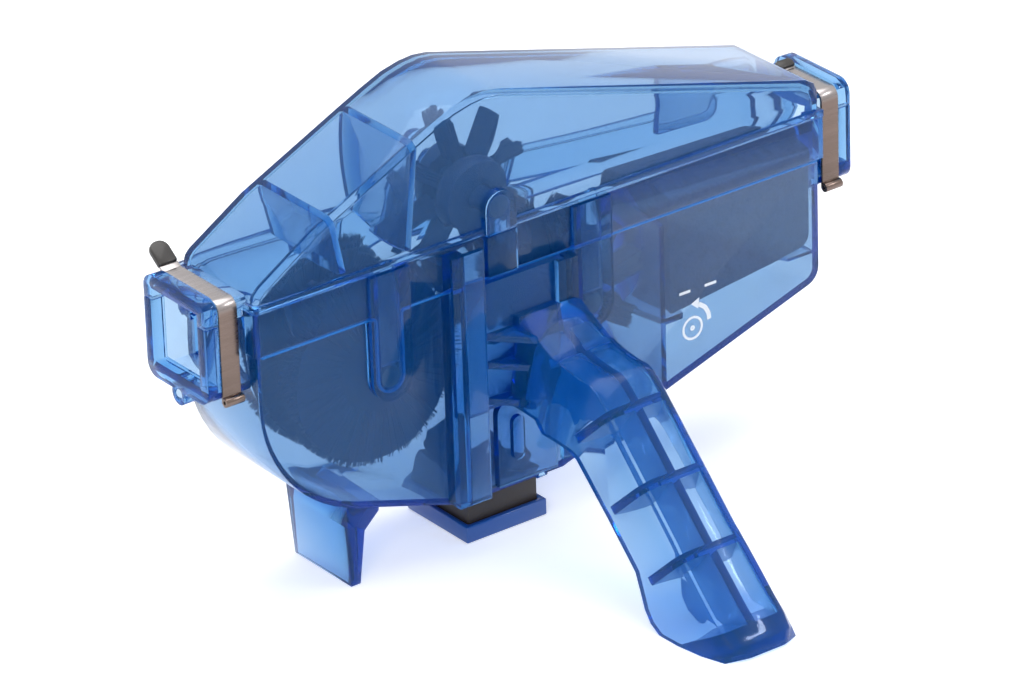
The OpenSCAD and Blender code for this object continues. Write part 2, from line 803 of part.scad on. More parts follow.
// One row of bristles: a ring with layers of strands, in tufts or all round
module bristles(x, z, side, turn, tip_r, ring_r, bore_r, y0, w, tuft, strands) {
    layers = 2;
    layer_w = w / (2 * layers);
    color([0.1, 0.12, 0.25])
        translate([x, 0, z])
            rotate([0, turn, 0])
                mirror([0, side < 0 ? 1 : 0, 0])
                    difference() {
                        union() {
                            drawn(y0, y0 + w)
                                circle(ring_r, $fn = hub_sides);
                            for (k = [0:layers - 1])
                                drawn(y0 + layer_w * (2 * k + 0.5), y0 + layer_w * (2 * k + 1.5))
                                    if (tuft > 0)
                                        tufts_layer(tip_r, ring_r, tuft, strands, k);
                                    else
                                        round_layer(tip_r, ring_r, strands, k);
                        }
                        drawn(y0 - over, y0 + w + over)
                            circle(bore_r, $fn = 48);
                    }
}

module round_layer(tip_r, ring_r, strands, k) {
    for (i = [0:strands - 1])
        rotate((i + k / 2) * full_turn / strands)
            translate([ring_r - over, -strand_w / 2])
                square([strand_tip(i + k, tip_r) - ring_r + over, strand_w]);
}

module tufts_layer(tip_r, ring_r, tuft, strands, k) {
    for (i = [0:tufts - 1])
        rotate(i * full_turn / tufts)
            for (j = [0:strands - 1 - k])
                translate([ring_r - 2 * over, (j + k / 2) * (tuft - strand_w) / (strands - 1) - tuft / 2])
                    square([strand_tip(i * strands + j + k, tip_r) - ring_r + 2 * over, strand_w]);
}

module front_bristles(side) {
    bristles(-front_axle_x, lower_axle_z, side, 0, front_tip_r, front_hub_r, bore_r, row_y, row_w, 0, front_strands);
}

module rear_bristles(side) {
    bristles(rear_axle_x, lower_axle_z, side, rear_turn, rear_tip_r, hub_r, bore_r, row_y, row_w, tuft_w, tuft_strands);
}

module star_bristles(side) {
    bristles(-star_axle_x, star_axle_z, side, star_turn, star_tip_r, drum_r, sleeve_r + bore_gap, row_split,
        star_row_w, star_tuft_w, tuft_strands - 1);
}

// Half of the star brush's drum: an end that closes on the bristle rows and a sleeve that carries one
module star_drum(side) {
    color([0.13, 0.13, 0.17])
        translate([-star_axle_x, 0, star_axle_z])
            mirror([0, side < 0 ? 1 : 0, 0])
                difference() {
                    union() {
                        drawn(row_split + star_row_w + bore_gap, drum_half)
                            circle(drum_r, $fn = 72);
                        drawn(bore_gap, drum_half)
                            circle(sleeve_r, $fn = 48);
                    }
                    drawn(-over, drum_half + over)
                        circle(bore_r, $fn = 48);
                }
}

// Sponge: it stands on its ledges in the tank, and the chain runs in a groove along its top
sponge_r = 4;

module sponge() {
    low_rear = pad_low + (pad_rear - sponge_front) * ledge_drop_share;
    color([0.08, 0.09, 0.14])
        difference() {
            slab(concat([[sponge_front, pad_top], [sponge_front, pad_low]],
                arc(pad_rear - sponge_r, low_rear + sponge_r, sponge_r, atan(ledge_drop_share) - 90, 0, corner_steps),
                [[pad_rear, pad_top]]), inner_w - 2 * sponge_gap);
            block([sponge_front - over, -slot_w / 2, pad_top - slot_deep],
                [pad_rear + over, slot_w / 2, pad_top + over]);
        }
}

// Turn of the tufts of the rear and of the star brush
rear_turn = -12;
star_turn = -15;

tank();
cover();
grip();
magnet();
magnet_tray();
at_end("front") clip(front_bar_end, front_tilt, tab_len);  // front_clip
at_end("front") clip_tip(front_bar_end, front_tilt, tab_len, front_tab_r);  // front_clip_tip
at_end("rear") clip(rear_bar_end, rear_tilt, rear_tab_len);  // rear_clip
at_end("rear") clip_tip(rear_bar_end, rear_tilt, rear_tab_len, rear_tab_r);  // rear_clip_tip
axle(-front_axle_x, lower_axle_z);  // front_brush_axle
sprocket(-front_axle_x);  // front_brush_sprocket
front_bristles(-1);  // front_brush_near_bristles
front_bristles(1);  // front_brush_far_bristles
axle(rear_axle_x, lower_axle_z);  // rear_brush_axle
sprocket(rear_axle_x);  // rear_brush_sprocket
rear_bristles(-1);  // rear_brush_near_bristles
rear_bristles(1);  // rear_brush_far_bristles
axle(-star_axle_x, star_axle_z);  // star_brush_axle
star_drum(-1);  // star_brush_near_drum
star_drum(1);  // star_brush_far_drum
star_bristles(-1);  // star_brush_near_bristles
star_bristles(1);  // star_brush_far_bristles
sponge();
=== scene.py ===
import math
import random

import bpy
import numpy as np
from mathutils import Matrix, Vector


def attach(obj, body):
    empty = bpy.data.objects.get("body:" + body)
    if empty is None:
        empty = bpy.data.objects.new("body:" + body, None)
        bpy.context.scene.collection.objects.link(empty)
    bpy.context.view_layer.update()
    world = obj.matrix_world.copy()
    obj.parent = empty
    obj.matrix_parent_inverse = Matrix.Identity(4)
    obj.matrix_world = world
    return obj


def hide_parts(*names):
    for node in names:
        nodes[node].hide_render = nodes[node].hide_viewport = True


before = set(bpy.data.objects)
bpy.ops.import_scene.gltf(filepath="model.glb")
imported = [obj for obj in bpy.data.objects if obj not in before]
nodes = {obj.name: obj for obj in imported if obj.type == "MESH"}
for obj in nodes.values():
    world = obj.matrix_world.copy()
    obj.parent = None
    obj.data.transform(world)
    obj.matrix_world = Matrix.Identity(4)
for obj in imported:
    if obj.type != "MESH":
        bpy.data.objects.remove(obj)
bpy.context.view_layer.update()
mm = 0.001
skin = {"weld": 0.002 * mm, "flatWithin": math.radians(0.6), "smoothWithin": 32, "bevelOver": 28}


def deselectAll():
    if bpy.context.mode != "OBJECT":
        bpy.ops.object.mode_set(mode="OBJECT")
    bpy.ops.object.select_all(action="DESELECT")


def makeActive(piece):
    deselectAll()
    piece.select_set(True)
    bpy.context.view_layer.objects.active = piece


def editMode(piece, kind="VERT"):
    makeActive(piece)
    bpy.ops.object.mode_set(mode="EDIT")
    bpy.ops.mesh.select_mode(type=kind)


def objectMode():
    bpy.ops.object.mode_set(mode="OBJECT")


def faceOutward():
    bpy.ops.mesh.select_all(action="SELECT")
    bpy.ops.mesh.normals_make_consistent(inside=False)
    objectMode()


def copyNode(name, pieceName):
    # a copy of the CAD solid, merged into one skin with its flat faces whole
    piece = nodes[name].copy()
    piece.data = nodes[name].data.copy()
    piece.name = piece.data.name = pieceName
    piece.parent = None
    bpy.context.collection.objects.link(piece)
    piece.data.materials.clear()
    editMode(piece)
    bpy.ops.mesh.select_all(action="SELECT")
    bpy.ops.mesh.remove_doubles(threshold=skin["weld"])
    bpy.ops.mesh.dissolve_limited(angle_limit=skin["flatWithin"])
    faceOutward()
    return piece


def meshPiece(name, verts, faces):
    mesh = bpy.data.meshes.new(name)
    mesh.from_pydata(verts, [], faces)
    piece = bpy.data.objects.new(name, mesh)
    bpy.context.collection.objects.link(piece)
    return piece


def joinInto(piece, others):
    makeActive(piece)
    for other in others:
        other.select_set(True)
    bpy.ops.object.join()


def addModifier(piece, kind, **values):
    makeActive(piece)
    modifier = piece.modifiers.new(kind.title(), kind)
    for key, value in values.items():
        setattr(modifier, key, value)
    bpy.ops.object.modifier_apply(modifier=modifier.name)


def softenEdges(piece, width, segments=2):
    addModifier(piece, "BEVEL", width=width, segments=segments, limit_method="ANGLE",
                angle_limit=math.radians(skin["bevelOver"]), use_clamp_overlap=True,
                miter_outer="MITER_ARC")
    makeActive(piece)
    bpy.ops.object.shade_smooth_by_angle(angle=math.radians(skin["smoothWithin"]))


def placePiece(piece, body, material, *replaced):
    piece.data.materials.clear()
    piece.data.materials.append(material)
    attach(piece, body)
    if replaced:
        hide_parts(*replaced)


class Val:
    # a shader socket that takes plain arithmetic
    def __init__(self, look, socket):
        self.look = look
        self.socket = socket

    def maths(self, operation, first, second):
        return self.look.node("ShaderNodeMath", {"operation": operation}, {0: first, 1: second})

    def __add__(self, other):
        return self.maths("ADD", self, other)

    def __radd__(self, other):
        return self.maths("ADD", other, self)

    def __sub__(self, other):
        return self.maths("SUBTRACT", self, other)

    def __rsub__(self, other):
        return self.maths("SUBTRACT", other, self)

    def __mul__(self, other):
        return self.maths("MULTIPLY", self, other)

    def __rmul__(self, other):
        return self.maths("MULTIPLY", other, self)


class Look:
    # the nodes of a material or of the world
    def __init__(self, owner, outputKind="ShaderNodeOutputMaterial"):
        owner.use_nodes = True
        self.owner = owner
        self.tree = owner.node_tree
        self.tree.nodes.clear()
        self.output = self.tree.nodes.new(outputKind)

    def node(self, kind, settings=None, inputs=None, out=0):
        made = self.tree.nodes.new(kind)
        for key, value in (settings or {}).items():
            if key == "stops":
                ramp = made.color_ramp
                while len(ramp.elements) < len(value):
                    ramp.elements.new(0.5)
                for element, (place, colour) in zip(ramp.elements, value):
                    element.position = place
                    element.color = colour
            else:
                setattr(made, key, value)
        for key, value in (inputs or {}).items():
            if isinstance(value, Val):
                self.tree.links.new(value.socket, made.inputs[key])
            else:
                made.inputs[key].default_value = value
        return Val(self, made.outputs[out])

    def place(self):
        return self.node("ShaderNodeTexCoord", out="Object")

    def parts(self, vector):
        made = self.tree.nodes.new("ShaderNodeSeparateXYZ")
        self.tree.links.new(vector.socket, made.inputs[0])
        return [Val(self, made.outputs[i]) for i in range(3)]

    def stretched(self, scale):
        return self.node("ShaderNodeMapping", {}, {"Vector": self.place(), "Scale": scale})

    def noise(self, vector, scale, detail, rough=0.5):
        return self.node("ShaderNodeTexNoise", {},
                         {"Vector": vector, "Scale": scale, "Detail": detail, "Roughness": rough})

    def cells(self, vector, scale):
        return self.node("ShaderNodeTexVoronoi", {"feature": "F1"}, {"Vector": vector, "Scale": scale})

    def ramp(self, factor, *stops):
        return self.node("ShaderNodeValToRGB", {"stops": stops}, {0: factor})

    def blend(self, factor, first, second):
        return self.node("ShaderNodeMix", {"data_type": "RGBA"}, {0: factor, 6: first, 7: second}, out=2)

    def bump(self, height, strength, distance):
        return self.node("ShaderNodeBump", {},
                         {"Height": height, "Strength": strength, "Distance": distance})

    def surface(self, shader):
        self.tree.links.new(shader.socket, self.output.inputs["Surface"])

    def volume(self, shader):
        self.tree.links.new(shader.socket, self.output.inputs["Volume"])

    def shader(self, **inputs):
        return self.node("ShaderNodeBsdfPrincipled", {},
                         {key.replace("_", " "): value for key, value in inputs.items()})


def newLook(name):
    return Look(bpy.data.materials.new(name))


clearPlastic = {
    "ior": 1.49,
    "tint": (0.90, 0.865, 0.875, 1),
    "body": (0.008, 0.21, 0.60, 1),
    "bodyRoughness": 0.3,
    "glint": (0.24, 0.32, 0.44, 1),
    "shadow": (0.62, 0.74, 0.92, 1),
    "absorbed": (0.0, 0.54, 0.86, 1),
    "density": 330.0,
    "grain": 60.0,
    "bump": 0.03,
    "bumpDepth": 1.0 * mm,
}
clearKinds = {
    "tank": {"denser": 1.0, "roughness": 0.035, "haze": 0.115},
    "cover": {"denser": 0.85, "roughness": 0.035, "haze": 0.115},
    "grip": {"denser": 1.15, "roughness": 0.06, "haze": 0.18},
    "gripRib": {"denser": 1.15, "roughness": 0.08, "haze": 0.6},
    "step": {"denser": 3.0, "roughness": 0.1, "haze": 0.55},
}


def clearPlasticLook(name, denser, roughness, haze):
    look = newLook(name)
    grain = look.noise(look.place(), clearPlastic["grain"], 2.0)
    normal = look.bump(grain, clearPlastic["bump"], clearPlastic["bumpDepth"])
    plastic = look.shader(Base_Color=clearPlastic["tint"], Roughness=roughness, IOR=clearPlastic["ior"],
                          Transmission_Weight=1.0, Specular_Tint=clearPlastic["glint"], Normal=normal)
    cloudy = look.shader(Base_Color=clearPlastic["body"], Roughness=clearPlastic["bodyRoughness"],
                         IOR=clearPlastic["ior"], Normal=normal)
    hazy = look.node("ShaderNodeMixShader", {}, {0: haze, 1: plastic, 2: cloudy})
    through = look.node("ShaderNodeBsdfTransparent", {}, {"Color": clearPlastic["shadow"]})
    shadowRay = look.node("ShaderNodeLightPath", out="Is Shadow Ray")
    look.surface(look.node("ShaderNodeMixShader", {}, {0: shadowRay, 1: hazy, 2: through}))
    look.volume(look.node("ShaderNodeVolumeAbsorption", {},
                          {"Color": clearPlastic["absorbed"], "Density": clearPlastic["density"] * denser}))
    return look.owner


clearLooks = {kind: clearPlasticLook(kind + "Plastic", **values) for kind, values in clearKinds.items()}

solidKinds = {
    "trayPlastic": {"colour": (0.004, 0.072, 0.30), "roughness": 0.34, "grain": 500.0, "bump": 0.08,
                    "coat": 0.25},
    "magnetBlock": {"colour": (0.028, 0.020, 0.016), "roughness": 0.5, "grain": 700.0, "bump": 0.3,
                    "coat": 0.0},
    "sprocketPlastic": {"colour": (0.020, 0.026, 0.062), "roughness": 0.42, "grain": 350.0, "bump": 0.12,
                        "coat": 0.0},
    "dippedTip": {"colour": (0.022, 0.018, 0.016), "roughness": 0.42, "grain": 260.0, "bump": 0.12,
                  "coat": 0.2},
    "markPrint": {"colour": (0.80, 0.83, 0.88), "roughness": 0.5, "grain": 500.0, "bump": 0.03,
                  "coat": 0.0},
}
uneven = {"scale": 45.0, "darker": 0.82, "roughness": 0.14, "bumpDepth": 0.2 * mm}


def solidLook(name, colour, roughness, grain, bump, coat):
    look = newLook(name)
    spot = look.place()
    broad = look.noise(spot, uneven["scale"], 4.0)
    fine = look.noise(spot, grain, 3.0)
    dark = tuple(part * uneven["darker"] for part in colour)
    shade = look.blend(broad, dark + (1,), colour + (1,))
    rough = fine * uneven["roughness"] + (roughness - uneven["roughness"] / 2)
    look.surface(look.shader(Base_Color=shade, Roughness=rough, Coat_Weight=coat,
                             Normal=look.bump(fine, bump, uneven["bumpDepth"])))
    return look.owner


solidLooks = {name: solidLook(name, **values) for name, values in solidKinds.items()}

# brushed strip, light along its top, with painted shade making it darker and browner down its upright part
steel = {
    "streaks": (14.0, 900.0, 900.0),
    "patches": 70.0,
    "upper": ((0.33, 0.305, 0.305, 1), (0.44, 0.41, 0.41, 1)),
    "lower": ((0.14, 0.105, 0.09, 1), (0.22, 0.165, 0.145, 1)),
    "shadeFrom": 93.5 * mm,
    "shadeTo": 90.5 * mm,
    "roughness": 0.16,
    "streakRoughness": 0.16,
    "patchRoughness": 0.06,
    "bump": 0.10,
    "bumpDepth": 0.1 * mm,
}


def steelLook():
    look = newLook("clipSteel")
    streaks = look.noise(look.stretched(steel["streaks"]), 1.0, 4.0, 0.6)
    patches = look.noise(look.place(), steel["patches"], 3.0)
    height = look.parts(look.place())[2]
    # lower down, the strip blends to the darker, browner colours: painted shade on its upright part
    lower = look.node("ShaderNodeMapRange", {"interpolation_type": "SMOOTHSTEP"},
                      {0: height, 1: steel["shadeFrom"], 2: steel["shadeTo"]})
    colour = look.blend(lower, look.blend(streaks, *steel["upper"]), look.blend(streaks, *steel["lower"]))
    rough = streaks * steel["streakRoughness"] + patches * steel["patchRoughness"] + steel["roughness"]
    look.surface(look.shader(Base_Color=colour, Metallic=1.0, Roughness=rough,
                             Normal=look.bump(streaks, steel["bump"], steel["bumpDepth"])))
    return look.owner


bristles = {
    "grain": 1500.0,
    "patches": 120.0,
    "grainShare": 0.6,
    "dark": (0.006, 0.009, 0.028, 1),
    "light": (0.030, 0.040, 0.095, 1),
    "roughness": 0.48,
    "specular": 0.4,
}


def bristleLook():
    look = newLook("bristleNylon")
    spot = look.place()
    grain = look.noise(spot, bristles["grain"], 2.0)
    patches = look.noise(spot, bristles["patches"], 3.0)
    mixed = grain * bristles["grainShare"] + patches * (1 - bristles["grainShare"])
    look.surface(look.shader(Base_Color=look.blend(mixed, bristles["dark"], bristles["light"]),
                             Roughness=bristles["roughness"], Specular_IOR_Level=bristles["specular"]))
    return look.owner


sponge = {
    "pores": 900.0,
    "bigPores": 380.0,
    "poreShare": 0.55,
    "poreShade": (0.10, (0.004, 0.006, 0.014, 1)),
    "high": (0.62, (0.045, 0.055, 0.10, 1)),
    "roughness": 0.92,
    "bump": 0.8,
    "bumpDepth": 0.6 * mm,
    "edge": 0.9 * mm,
}


def foamLook():
    look = newLook("spongeFoam")
    spot = look.place()
    pores, bigPores = look.cells(spot, sponge["pores"]), look.cells(spot, sponge["bigPores"])
    height = pores * sponge["poreShare"] + bigPores * (1 - sponge["poreShare"])
    # the pits of the foam are painted near black from the same height as its bumps: painted shade in its
    # pores
    look.surface(look.shader(Base_Color=look.ramp(height, sponge["poreShade"], sponge["high"]),
                             Roughness=sponge["roughness"],
                             Normal=look.bump(height, sponge["bump"], sponge["bumpDepth"])))
    return look.owner


solidLooks["clipSteel"] = steelLook()
bristlesLook = bristleLook()
spongeLook = foamLook()
print("materials ready")

shells = {
    "tank": {"edge": 0.42 * mm, "body": "tank"},
    "cover": {"edge": 0.42 * mm, "body": "cover"},
    "grip": {"edge": 0.5 * mm, "body": "tank"},
}

for name, shell in shells.items():
    piece = copyNode(name, name + "Shell")
    softenEdges(piece, shell["edge"])
    placePiece(piece, shell["body"], clearLooks[name], name)
    print(name, "shell", len(piece.data.polygons), "faces")

# the grip's spine and cross ribs look deeper blue than its thin skin
ribs = {"middle": 9.85 * mm, "spine": 1.7 * mm, "slope": math.radians(42), "start": -26 * mm,
        "end": -104 * mm, "spineFacing": 0.95, "ribFacing": 0.93}
along = Vector((0, math.cos(ribs["slope"]), math.sin(ribs["slope"])))
gripShell = bpy.data.objects["gripShell"]
gripShell.data.materials.append(clearLooks["gripRib"])
ribFaces = 0
for face in gripShell.data.polygons:
    onSpine = abs(face.normal.x) > ribs["spineFacing"] and abs(face.center.x - ribs["middle"]) < ribs["spine"]
    onRib = abs(face.normal.dot(along)) > ribs["ribFacing"] and ribs["end"] < face.center.y < ribs["start"]
    if onSpine or onRib:
        face.material_index = 1
        ribFaces += 1
print("grip rib faces", ribFaces)

trims = {
    "magnet_tray": {"name": "magnetTray", "edge": 0.4, "body": "tank", "look": "trayPlastic"},
    "magnet": {"name": "magnetBlockPiece", "edge": 0.3, "body": "tank", "look": "magnetBlock"},
    "front_clip": {"name": "frontClipStrip", "edge": 0.12, "body": "front_clip", "look": "clipSteel"},
    "rear_clip": {"name": "rearClipStrip", "edge": 0.12, "body": "rear_clip", "look": "clipSteel"},
    "front_clip_tip": {"name": "frontClipTip", "edge": 0.55, "body": "front_clip", "look": "dippedTip"},
    "rear_clip_tip": {"name": "rearClipTip", "edge": 0.55, "body": "rear_clip", "look": "dippedTip"},
    "front_brush_axle": {"name": "frontAxle", "edge": 0.4, "body": "front_brush", "look": "sprocketPlastic"},
    "rear_brush_axle": {"name": "rearAxle", "edge": 0.4, "body": "rear_brush", "look": "sprocketPlastic"},
    "star_brush_axle": {"name": "starAxle", "edge": 0.4, "body": "star_brush", "look": "sprocketPlastic"},
    "front_brush_sprocket": {"name": "frontSprocket", "edge": 0.2, "body": "front_brush",
                             "look": "sprocketPlastic"},
    "rear_brush_sprocket": {"name": "rearSprocket", "edge": 0.2, "body": "rear_brush",
                            "look": "sprocketPlastic"},
    "star_brush_near_drum": {"name": "starNearDrum", "edge": 0.5, "body": "star_brush",
                             "look": "sprocketPlastic"},
    "star_brush_far_drum": {"name": "starFarDrum", "edge": 0.5, "body": "star_brush",
                            "look": "sprocketPlastic"},
}

for name, trim in trims.items():
    piece = copyNode(name, trim["name"])
    softenEdges(piece, trim["edge"] * mm)
    placePiece(piece, trim["body"], solidLooks[trim["look"]], name)
print("trim pieces done")

brushes = {
    "front": {"x": -38.4, "z": 59.151, "tip": 27.0, "hub": 13.0, "bore": 3.05, "tufts": 0, "strands": 2600,
              "turn": 0.0, "inner": 4.4, "width": 7.4, "tuft": 0.0},
    "rear": {"x": 26.6, "z": 59.151, "tip": 21.8, "hub": 11.6, "bore": 3.05, "tufts": 8, "strands": 260,
             "turn": 12.0, "inner": 4.4, "width": 7.4, "tuft": 6.4},
    "star": {"x": -2.6, "z": 96.293, "tip": 21.8, "hub": 10.0, "bore": 5.45, "tufts": 8, "strands": 170,
             "turn": 15.0, "inner": 0.4, "width": 2.8, "tuft": 3.8},
}
strandSize = {"thick": 0.36, "root": 1.5, "tipShare": 0.7}
tuftStrands = {"edge": 0.25, "narrower": 0.6, "ragged": 1.5, "short": 0.3, "splay": 0.05, "stray": 0.008}
discStrands = {"edge": 0.3, "ragged": 0.7, "short": 0.1, "stray": 0.02}
tuftCore = {"short": 3.0, "longer": 2.0, "thinner": 0.9, "narrower": 1.1}
discCore = {"short": 1.6, "thinner": 1.0, "sides": 96}
ring = {"sides": 64, "lip": 1.2, "edge": 0.3 * mm}


def strandMesh():
    # one strand, unit length along +X, square and a little thinner at its tip
    deselectAll()
    bpy.ops.mesh.primitive_cylinder_add(vertices=4, radius=0.5, depth=1.0, end_fill_type="NGON",
                                        location=(0.5, 0, 0), rotation=(0, math.pi / 2, 0))
    strand = bpy.context.active_object
    bpy.ops.object.transform_apply(location=True, rotation=True, scale=True)
    editMode(strand)
    bpy.ops.mesh.select_all(action="DESELECT")
    objectMode()
    for vertex in strand.data.vertices:
        vertex.select = vertex.co.x > 0.9
    editMode(strand)
    bpy.ops.transform.resize(value=(1, strandSize["tipShare"], strandSize["tipShare"]))
    objectMode()
    points = np.array([vertex.co[:] for vertex in strand.data.vertices])
    # its root end is inside the hub, so it is left open
    faces = [list(face.vertices) for face in strand.data.polygons if face.center.x > 0.1]
    bpy.data.objects.remove(strand)
    return points, faces


strandPoints, strandFaces = strandMesh()


def tuftAngles(brush):
    return [math.radians(brush["turn"]) + 2 * math.pi * tuft / brush["tufts"]
            for tuft in range(brush["tufts"])]


def strandPlaces(brush, rng):
    # angle, place across the tuft, depth along the axle, reach and lean of each strand
    inner, width = brush["inner"], brush["width"]
    for angle in tuftAngles(brush):
        for _ in range(brush["strands"]):
            share = rng.uniform(-0.5, 0.5)
            depth = inner + tuftStrands["edge"] + rng.random() * (width - 2 * tuftStrands["edge"])
            reach = brush["tip"] - rng.random() ** 2 * tuftStrands["ragged"] - tuftStrands["short"]
            lean = share * tuftStrands["splay"] + rng.gauss(0, tuftStrands["stray"])
            yield angle, share * (brush["tuft"] - tuftStrands["narrower"]), depth, reach, lean
    for i in range(0 if brush["tufts"] else brush["strands"]):
        angle = math.radians(brush["turn"]) + 2 * math.pi * (i + rng.random()) / brush["strands"]
        depth = inner + discStrands["edge"] + rng.random() * (width - 2 * discStrands["edge"])
        reach = brush["tip"] - rng.random() ** 2 * discStrands["ragged"] - discStrands["short"]
        yield angle, 0.0, depth, reach, rng.gauss(0, discStrands["stray"])


def strandRow(name, brush, side, rng):
    verts, faces = [], []
    start = brush["hub"] - strandSize["root"]
    for angle, across, depth, reach, lean in strandPlaces(brush, rng):
        points = strandPoints * [reach - start, strandSize["thick"], strandSize["thick"]]
        outward = points[:, 0] + start
        sideways = across + lean * points[:, 0] + points[:, 1]
        c, s = math.cos(angle), math.sin(angle)
        base = len(verts)
        for a, b, d in zip(outward, sideways, depth + points[:, 2]):
            verts.append(((brush["x"] + a * c - b * s) * mm, d * side * mm,
                          (brush["z"] + a * s + b * c) * mm))
        faces.extend([[base + k for k in face] for face in strandFaces])
    return meshPiece(name, verts, faces)


def roundPiece(brush, middle, radius, depth, sides):
    deselectAll()
    bpy.ops.mesh.primitive_cylinder_add(vertices=sides, radius=radius * mm, depth=depth * mm,
                                        location=(brush["x"] * mm, middle * mm, brush["z"] * mm),
                                        rotation=(math.pi / 2, 0, 0))
    bpy.ops.object.transform_apply(location=True, rotation=True, scale=True)
    return bpy.context.active_object


def packedCores(brush, middle):
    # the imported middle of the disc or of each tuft, which no light passes
    if not brush["tufts"]:
        return [roundPiece(brush, middle, brush["tip"] - discCore["short"],
                           brush["width"] - discCore["thinner"], discCore["sides"])]
    cores = []
    end = brush["tip"] - tuftCore["short"]
    for angle in tuftAngles(brush):
        out = (brush["hub"] + end) / 2
        deselectAll()
        bpy.ops.mesh.primitive_cube_add(
            size=1, rotation=(0, -angle, 0),
            location=((brush["x"] + out * math.cos(angle)) * mm, middle * mm,
                      (brush["z"] + out * math.sin(angle)) * mm),
            scale=((end - brush["hub"] + tuftCore["longer"]) * mm,
                   (brush["width"] - tuftCore["thinner"]) * mm,
                   (brush["tuft"] - tuftCore["narrower"]) * mm))
        bpy.ops.object.transform_apply(location=True, rotation=True, scale=True)
        cores.append(bpy.context.active_object)
    return cores


def carrierRing(brush, middle):
    # the ring that carries the row, turned round its bore
    hub = roundPiece(brush, middle, brush["hub"], brush["width"], ring["sides"])
    for face in hub.data.polygons:
        face.select = abs(face.normal.y) > 0.9
    editMode(hub, "FACE")
    bpy.ops.mesh.inset(thickness=(brush["hub"] - brush["bore"] - ring["lip"]) * mm)
    bpy.ops.mesh.inset(thickness=ring["lip"] * mm)
    bpy.ops.mesh.bridge_edge_loops()
    objectMode()
    softenEdges(hub, ring["edge"])
    return hub


def bristleRow(name, brush, side, rng):
    middle = side * (brush["inner"] + brush["width"] / 2)
    cores = packedCores(brush, middle)
    row = strandRow(name, brush, side, rng)
    joinInto(row, cores + [carrierRing(brush, middle)])
    editMode(row)
    faceOutward()
    return row


rng = random.Random(7)
for which, brush in brushes.items():
    for side, word in ((-1, "Near"), (1, "Far")):
        row = bristleRow(which + word + "Row", brush, side, rng)
        placePiece(row, which + "_brush", bristlesLook, which + "_brush_" + word.lower() + "_bristles")
print("brushes done")


def arc(x, z, r, start, end, steps=16):
    return [(x + r * math.cos(math.radians(start + (end - start) * i / steps)),
             z + r * math.sin(math.radians(start + (end - start) * i / steps))) for i in range(steps + 1)]


def ribbon(name, points, width, y0, y1, closed=False):
    # a strip of even width along a path in the X-Z plane, from y0 out to y1
    path = [Vector(point) for point in points]
    count = len(path)
    verts, faces = [], []
    for i, here in enumerate(path):
        before = path[i - 1] if i or closed else here
        after = path[(i + 1) % count] if i + 1 < count or closed else here
        first = (here - before).normalized() if (here - before).length else (after - here).normalized()
        second = (after - here).normalized() if (after - here).length else first
        middle = (first + second).normalized()
        across = Vector((-middle.y, middle.x)) / max(0.5, middle.dot(first))
        w = width[i] if isinstance(width, list) else width
        for side in (-1, 1):
            spot = here + across * (side * w / 2)
            verts.append((spot.x * mm, y0 * mm, spot.y * mm))
    for i in range(count if closed else count - 1):
        j = (i + 1) % count
        faces.append((2 * i, 2 * i + 1, 2 * j + 1, 2 * j))
    strip = meshPiece(name, verts, faces)
    editMode(strip, "FACE")
    bpy.ops.mesh.select_all(action="SELECT")
    bpy.ops.mesh.extrude_region_move(TRANSFORM_OT_translate={"value": (0, (y1 - y0) * mm, 0)})
    faceOutward()
    return strip


wallStep = {"z": 76.85, "front": -77.5, "rear": 102.8, "slot": -38.4, "axle": 59.15, "slotR": 3.9, "bend": 1,
            "wide": 0.8, "inner": 16.15, "outer": 17.3, "edge": 0.18 * mm}
slotReach = wallStep["slotR"] + wallStep["bend"]
bendZ = wallStep["z"] - wallStep["bend"]
stepPath = ([(wallStep["front"], wallStep["z"])]
            + arc(wallStep["slot"] - slotReach, bendZ, wallStep["bend"], 90, 0, 4)
            + arc(wallStep["slot"], wallStep["axle"], wallStep["slotR"], 180, 360)
            + arc(wallStep["slot"] + slotReach, bendZ, wallStep["bend"], 180, 90, 4)
            + [(wallStep["rear"], wallStep["z"])])
for word, side in (("near", -1), ("far", 1)):
    bead = ribbon(word + "WallStep", stepPath, wallStep["wide"], side * wallStep["inner"],
                  side * wallStep["outer"])
    softenEdges(bead, wallStep["edge"])
    placePiece(bead, "tank", clearLooks["step"])

marks = {"face": -16.2, "thick": 0.05, "line": 51.7, "wheelX": 60.6, "wheelZ": 40.6, "wheelR": 3.1,
         "dotR": 0.5}
wheel = (marks["wheelX"], marks["wheelZ"])
markPaths = [
    {"width": 0.8, "points": [(56.4, marks["line"]), (60.1, marks["line"])]},
    {"width": 0.8, "points": [(64.9, marks["line"]), (68.8, marks["line"])]},
    {"width": [0.1, 3.2], "points": [(60.3, 47.7), (62.8, 47.3)]},
    {"width": 1.3, "points": [(62.8, 47.0), (64.9, 45.4), (66.0, 43.4), (66.2, 41.5)]},
    {"width": 0.7, "points": arc(*wheel, marks["wheelR"], 0, 345, 23), "closed": True},
    {"width": 0.6, "points": arc(*wheel, marks["dotR"], 0, 300, 5), "closed": True},
]
printed = [ribbon("mark", y0=marks["face"], y1=marks["face"] - marks["thick"], **path) for path in markPaths]
joinInto(printed[0], printed[1:])
printed[0].name = printed[0].data.name = "turnMarks"
placePiece(printed[0], "tank", solidLooks["markPrint"])
print("wall step and marks done")

foam = copyNode("sponge", "chainFoam")
softenEdges(foam, sponge["edge"], 3)
placePiece(foam, "tank", spongeLook, "sponge")
print("sponge done")

stage = {"floor": (0.93, 0.93, 0.93, 1), "glow": 0.42, "size": 12, "drop": 0.2 * mm,
         "sky": (0.92, 0.95, 1.0, 1), "skyLight": 0.55, "bounces": 24}

